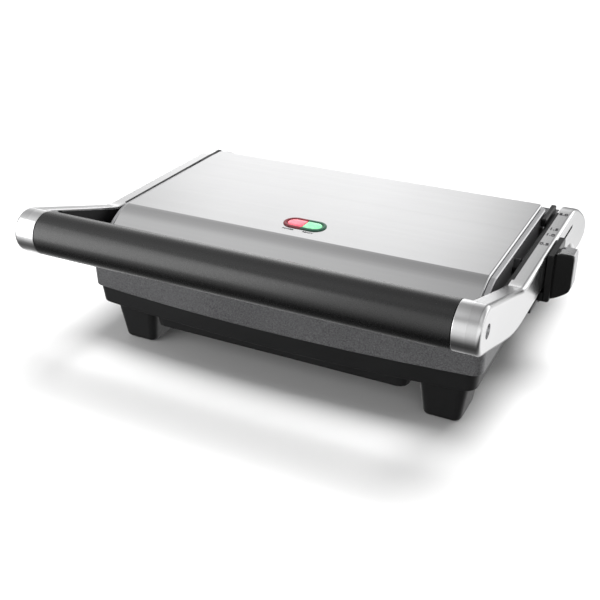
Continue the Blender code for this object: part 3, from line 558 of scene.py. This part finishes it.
# twin lamp: two coloured half rings round domed lenses
for name, mat, ring_mat, s, node_name in (("lamp_red", "red", "ring_red", -1, "lens_red"),
                                          ("lamp_green", "green", "ring_green", 1, "lens_green")):
    full = pill(-2, 122, 31.0, 12.6)
    half = [(x, y) for x, y in full if s * (x + 2) > 0.3]
    half += [(-2 + s * 0.3, 122 + s * 6.3), (-2 + s * 0.3, 122 - s * 6.3)]
    rings = [(0, 113.6), (0, LID_TOP + 0.25), (0.15, LID_TOP + 0.55), (0.6, LID_TOP + 0.85), (1.5, LID_TOP + 1.05), (3.0, LID_TOP + 1.15)]
    lens = weighted(loft(name, half, "XY", rings, angle=50))
    show(lens, mat, "lid", node_name)
outer, inner = pill(-2, 122, 38.3, 19.8), pill(-2, 122, 31.9, 13.5)


def half_ring(name, s, mat):
    bm = bmesh.new()
    n = len(outer)
    keep = [i for i in range(n) if s * (outer[i][0] + 2) > 0.0]
    # order the kept points so the gap faces the middle
    start = next(i for i in range(n) if i in keep and (i - 1) % n not in keep)
    order = [(start + k) % n for k in range(len(keep))]
    sect = [(0.0, LID_TOP + 0.12), (0.03, LID_TOP + 0.6), (0.14, LID_TOP + 0.95), (0.3, LID_TOP + 1.1), (0.7, LID_TOP + 1.1),
            (0.86, LID_TOP + 0.95), (0.97, LID_TOP + 0.6), (1.0, LID_TOP + 0.12)]
    loops = []
    pts_o = [outer[i] for i in order]
    pts_i = [inner[i] for i in order]
    pts_o = [(-2 + s * 0.0, pts_o[0][1])] + pts_o + [(-2 + s * 0.0, pts_o[-1][1])]
    pts_i = [(-2 + s * 0.0, pts_i[0][1])] + pts_i + [(-2 + s * 0.0, pts_i[-1][1])]
    for o, i in zip(pts_o, pts_i):
        loops.append([bm.verts.new(W(o[0] + (i[0] - o[0]) * k, o[1] + (i[1] - o[1]) * k, z)) for k, z in sect])
    m = len(sect)
    for a, b in zip(loops, loops[1:]):
        for j in range(m):
            bm.faces.new((a[j], a[(j + 1) % m], b[(j + 1) % m], b[j]))
    bm.faces.new(loops[0][::-1])
    bm.faces.new(loops[-1])
    o = weighted(to_object(name, bm, 50))
    show(o, mat, "lid", "lamp_bezel" if s < 0 else ())


half_ring("lamp_ring_red", -1, "ring_red")
half_ring("lamp_ring_green", 1, "ring_green")
text_piece("lamp_word_left", "POWER", -11.0, 108.2, LID_TOP + 0.02, 3.0, "lid")
text_piece("lamp_word_right", "READY", 7.0, 108.2, LID_TOP + 0.02, 3.0, "lid")

# ------------------------------------------------------------------ base
BOW = 9.4


def draft(fx, fy, top_z, bot_z, cy):
    def f(u, v, h):
        k = (top_z - h) / (top_z - bot_z)
        return u * (1 - (1 - fx) * k), cy + (v - cy) * (1 - (1 - fy) * k)
    return f


band = solid("base_band", bowed_rect(-175.5, 53.8, 175.5, 330, 8, 12, BOW), "XY", 55.8, 79.5, 0.8, 1.0, 5,
             warp=draft(0.9975, 0.997, 79.5, 55.8, 191.9))
boolean(band, [
    solid("cavity", bowed_rect(-170.9, 58.0, 170.9, 325.8, 4, 4, BOW), "XY", 50, 76.5),
    boxed("deck_opening", (-170.2, 276, 70), (170.2, 325.0, 90)),
    solid("well", round_rect(-151.3, 64.5, 151.3, 248.1, 6.5, 6), "XY", 70, 90),
    solid("pin_l", arc(318, 76, 5.5, 0, 350, 35), "YZ", -180, -165),
    solid("pin_r", arc(318, 76, 5.5, 0, 350, 35), "YZ", 165, 180),
    solid("gland", arc(96, 68, 7.6, 0, 350, 35), "XZ", 320, 336)])
weighted(band)
show(band, "band", "base", "base_shell")
housing_side = [(268.5, 79.8), (329.4, 79.8)] + arc(323.4, 82, 6, 0, 90, 10) + arc(274.5, 82, 6, 90, 180, 10)
rear_piece = solid("rear_cover", housing_side, "YZ", -174.5, 174.5, 1.8, 1.8, 5)
boolean(rear_piece, [boxed("rear_cavity", (-170.9, 272.0, 70), (170.9, 325.8, 85.4)),
                     solid("pin_l", arc(318, 76, 5.5, 0, 350, 35), "YZ", -180, -165),
                     solid("pin_r", arc(318, 76, 5.5, 0, 350, 35), "YZ", 165, 180)])
weighted(rear_piece)
show(rear_piece, "band", "base", "rear_housing")

tier = solid("lower_tier", bowed_rect(-171.9, 55.2, 171.9, 326, 9, 12, BOW), "XY", 39.8, 55.5, 0.9, 0.0, 5,
             warp=draft(0.993, 0.989, 55.5, 39.8, 192))
boolean(tier, [solid("tier_hole", bowed_rect(-167.1, 58.6, 167.1, 321, 6, 6, BOW), "XY", 30, 60)])
weighted(tier)
show(tier, "tier", "base", "bottom_housing")

for fore, y0, y1, ty0, ty1 in (("front", 69.2, 107.0, 64.5, 113.0), ("rear", 270.0, 306.0, 264.0, 313.0)):
    for side, s in (("left", -1), ("right", 1)):
        a, b = sorted((s * 126.6, s * 157.6))
        ta, tb = sorted((s * 121.5, s * 163.4))

        def taper(u, v, h, a=a, b=b, ta=ta, tb=tb, y0=y0, y1=y1, ty0=ty0, ty1=ty1):
            k = (39.5 - h) / (39.5 - 0.8)
            ku = (b - a) / (tb - ta) * k + (1 - k)
            kv = (y1 - y0) / (ty1 - ty0) * k + (1 - k)
            cu, cv = (ta + tb) / 2 * (1 - k) + (a + b) / 2 * k, (ty0 + ty1) / 2 * (1 - k) + (y0 + y1) / 2 * k
            return cu + (u - (ta + tb) / 2) * ku, cv + (v - (ty0 + ty1) / 2) * kv

        rings = rings_for(0.8, 39.5, 3.2, 0, 6)
        rings = rings[:-1] + [(0, 0.8 + (39.5 - 0.8) * i / 8) for i in range(1, 9)]
        foot = loft("foot_block_%s_%s" % (fore, side), round_rect(ta, ty0, tb, ty1, 8, 10), "XY", rings, taper)
        cx, cy = (a + b) / 2, (y0 + y1) / 2
        boolean(foot, [solid("pad_recess", arc(cx, cy, 11.3, 0, 354, 59), "XY", -1, 3.4)])
        weighted(foot)
        show(foot, "tier", "base", "foot_%s_%s" % (fore, side))

# ------------------------------------------------------------------ height slider
sy0, sy1 = span("slider_body", 1)
foot_z = span("slider_body", 2)[0]
plate_line = chaikin([(190.4, 111.4), (190.4, foot_z), (194.4, foot_z), (196.0, 71.4), (196.0, 111.4)], 1, 0.1)
plate = solid("slider_plate", plate_line, "XZ", sy0, sy1, 1.0, 1.0, 4)
foot_part = solid("slider_foot", round_rect(179.0, foot_z, 192.4, 77.9, 0.6, 4), "XZ", sy0 + 0.4, sy0 + 23.4, 0.6, 0.6, 3)
lever_line = chaikin([(193.4, foot_z + 0.1), (198.8, 72.0), (207.6, 77.8), (210.4, 81.6), (210.4, 110.0), (209.0, 111.6),
                      (195.0, 111.6), (193.4, 100)], 2, 0.22)
lever = solid("slider_lever", lever_line, "XZ", 171.6, 174.4, 0.9, 0.2, 5)
core_line = [(193.8, foot_z + 0.6), (198.7, 72.3), (207.0, 78.0), (208.9, 80.9), (208.9, 110.2), (194.8, 110.2), (193.8, 101)]
core = solid("slider_core", core_line, "XZ", 173.6, 186.6, 0.5, 0.5, 3)
key = boxed("slider_key", (186.2, 179.2, 97.3), (191.0, 195.8, 99.5))
for o, stands in ((plate, "slider_body"), (foot_part, ()), (lever, ()), (core, ()), (key, ())):
    weighted(o)
    show(o, "gloss", "height_slider", stands)
cap_line = chaikin([(196.3, 111.8), (209.2, 111.8), (210.7, 110.2), (210.7, 84.0), (210.0, 81.2), (196.3, 81.2)], 1, 0.2)
cap = solid("slider_bright_cap", cap_line, "XZ", 174.6, 189.0, 0.5, 1.2, 5)
boolean(cap, [boxed("cap_hollow", (190, 170, 70), (209.3, 186.9, 110.5))])
weighted(cap)
show(cap, "cap", "height_slider", "slider_cap")
arrow = solid("slider_arrow", [(197.2, 183.2), (201.6, 183.2), (199.4, 186.6)], "XY", 111.6, 111.86)
show(arrow, "mark", "height_slider", ())

# ------------------------------------------------------------------ looks of the carried-over nodes
KEEP = {
    "black": ["pivot_spacer_left", "pivot_spacer_right", "arm_cover_left", "arm_cover_right", "tilt_stop_left", "tilt_stop_right", "cord_gland", "height_stop_rail"],
    "tier": ["bottom_cover"],
    "frame": ["lid_housing"],
    "plate": ["lower_plate", "upper_plate"],
    "rubber": ["foot_pad_front_left", "foot_pad_front_right", "foot_pad_rear_left", "foot_pad_rear_right"],
    "zinc": ["cover_screw_1", "cover_screw_2", "cover_screw_3", "cover_screw_4", "lower_element", "upper_element",
             "lower_heat_shield", "upper_heat_shield", "lower_thermostat", "upper_thermostat", "hinge_bracket_left",
             "hinge_bracket_right", "hinge_pin_left", "hinge_pin_right", "handle_screw_left", "handle_screw_right",
             "pivot_pin_left", "pivot_pin_right", "detent_leaf"],
    "lid": ["handle_rod"],
    "brass": ["hinge_bush_left", "hinge_bush_right", "thermal_fuse"],
    "nylon": ["terminal_block"],
    "board": ["lamp_board"],
}
for look, names in KEEP.items():
    for n in names:
        dress(nodes[n], look)

# ------------------------------------------------------------------ studio
bm = bmesh.new()
bmesh.ops.create_grid(bm, x_segments=2, y_segments=2, size=6.0)
me = bpy.data.meshes.new("studio_floor")
bm.to_mesh(me)
bm.free()
floor = bpy.data.objects.new("studio_floor", me)
scene.collection.objects.link(floor)
m, t, s = tree("floor_pale")
link(t, ramp(t, noise(t, coords(t), 1.5, 2.0), [(0.3, 0.66), (0.7, 0.68)]), s.inputs["Base Color"])
s.inputs["Roughness"].default_value = 0.9
s.inputs["Specular IOR Level"].default_value = 0.1
me.materials.append(m)
floor.visible_glossy = False

# a plain pale wall round the floor's edge, seen only by the camera, so low views don't look past the floor
bm = bmesh.new()
bmesh.ops.create_cone(bm, cap_ends=False, segments=96, radius1=5.9, radius2=5.9, depth=9.0)
me = bpy.data.meshes.new("studio_wall")
bm.to_mesh(me)
bm.free()
wall = bpy.data.objects.new("studio_wall", me)
wall.location = (0, 0, 4.4)
scene.collection.objects.link(wall)
m, t, s = tree("wall_pale")
link(t, ramp(t, noise(t, coords(t), 0.4, 2.0), [(0.3, 0.97), (0.7, 1.0)]), s.inputs["Emission Color"])
s.inputs["Emission Strength"].default_value = 1.0
s.inputs["Base Color"].default_value = (0, 0, 0, 1)
s.inputs["Specular IOR Level"].default_value = 0.0
me.materials.append(m)
for ray in ("visible_glossy", "visible_diffuse", "visible_shadow", "visible_transmission", "visible_volume_scatter"):
    setattr(wall, ray, False)

world = bpy.data.worlds.new("studio")
scene.world = world
world.use_nodes = True
t = world.node_tree
bg = t.nodes["Background"]
tc = node(t, "ShaderNodeTexCoord")
sep = node(t, "ShaderNodeSeparateXYZ")
link(t, tc.outputs["Generated"], sep.inputs["Vector"])
neg = node(t, "ShaderNodeMath", operation="MULTIPLY")
link(t, sep.outputs["Y"], neg.inputs[0])
neg.inputs[1].default_value = -1.0
ang = node(t, "ShaderNodeMath", operation="ARCTAN2")
link(t, sep.outputs["Z"], ang.inputs[0])
link(t, neg.outputs[0], ang.inputs[1])
fac = remap(t, ang.outputs[0], 0.0, 1.0, -math.pi, math.pi)


def at(deg):
    return (deg + 180) / 360


# Brightness of the room by angle: 0 is the front horizon, 90 overhead, 180 the horizon behind the object.
STOPS = [(-180, 0.8), (-172, 0.75), (-154, 1.15), (-130, 0.85), (-100, 0.15), (-70, 0.05), (-50, 0.10), (-30, 0.42), (-10, 0.88),
         (12, 1.10), (34, 1.02), (47, 0.62), (56, 0.50), (68, 0.66), (82, 0.70), (96, 0.56), (116, 0.44), (136, 0.44),
         (146, 0.78), (152, 0.98), (157, 1.20), (161, 1.20), (166, 1.45), (172, 2.4), (177, 1.4), (180, 0.8)]
# It also falls off from the left of the room to the right, by the direction's x.
LEFT_RIGHT_FRONT = [(-0.64, 1.55), (-0.56, 1.25), (-0.48, 1.05), (-0.40, 0.95), (-0.32, 0.76), (-0.26, 0.72), (-0.10, 0.7),
                    (0.40, 0.95), (1.0, 1.0)]
LEFT_RIGHT_BACK = [(-0.64, 0.62), (-0.57, 0.78), (-0.50, 1.0), (-0.34, 1.0), (-0.28, 0.92), (-0.24, 0.82), (-0.20, 0.62),
                   (-0.15, 0.34), (0.0, 0.24), (0.10, 0.36), (0.17, 0.95), (0.35, 1.0), (1.0, 0.8)]



by_angle = ramp(t, fac, [(at(a), v / 5.0) for a, v in STOPS])
side = remap(t, sep.outputs["X"], 0.0, 1.0, -1.0, 1.0)
front_side = ramp(t, side, [((a + 1) / 2, v / 2.5) for a, v in LEFT_RIGHT_FRONT])
back_side = ramp(t, side, [((a + 1) / 2, v / 2.5) for a, v in LEFT_RIGHT_BACK])
behind = ramp(t, fac, [(at(-140), 1.0), (at(-120), 0.0), (at(50), 0.0), (at(70), 0.6), (at(142), 0.6), (at(150), 1.0)])


def mul(a, b):
    n = node(t, "ShaderNodeVectorMath", operation="MULTIPLY")
    link(t, a, n.inputs[0])
    link(t, b, n.inputs[1])
    return n.outputs[0]


pick = node(t, "ShaderNodeMix", data_type="RGBA")
link(t, behind, pick.inputs["Factor"])
link(t, front_side, pick.inputs[6])
link(t, back_side, pick.inputs[7])
link(t, mul(by_angle, pick.outputs[2]), bg.inputs["Color"])
bg.inputs["Strength"].default_value = 12.5

sun = bpy.data.lights.new("soft_top", "SUN")
sun.energy = 4.6
sun.angle = math.radians(36)
so = bpy.data.objects.new("soft_top", sun)
so.rotation_euler = (math.radians(-9), math.radians(10), 0)
so.visible_glossy = False
scene.collection.objects.link(so)

panel = bpy.data.lights.new("left_panel", "AREA")
panel.shape = "SQUARE"
panel.size = 0.7
panel.energy = 1.7
po = bpy.data.objects.new("left_panel", panel)
po.location = (-0.52, -0.58, 0.30)
po.rotation_euler = (Vector((-0.12, -0.12, 0.07)) - Vector(po.location)).to_track_quat("-Z", "Y").to_euler()
po.visible_camera = False
scene.collection.objects.link(po)

# ------------------------------------------------------------------ camera
az, el, roll = math.radians(26.69), math.radians(27.61), math.radians(-0.19)
back = Vector((math.sin(az) * math.cos(el), -math.cos(az) * math.cos(el), math.sin(el)))
right = Vector((math.cos(az), math.sin(az), 0))
up = back.cross(right)
r2 = right * math.cos(roll) + up * math.sin(roll)
u2 = up * math.cos(roll) - right * math.sin(roll)
cam = bpy.data.cameras.new("camera")
cam.sensor_width = 36
cam.lens = 942.3 / 600 * 36
cam.clip_start = 0.01
co = bpy.data.objects.new("camera", cam)
rot = Matrix((r2, u2, back)).transposed().to_4x4()
co.matrix_world = Matrix.Translation(W(319.3, -526.8, 426.3)) @ rot
scene.collection.objects.link(co)
scene.camera = co
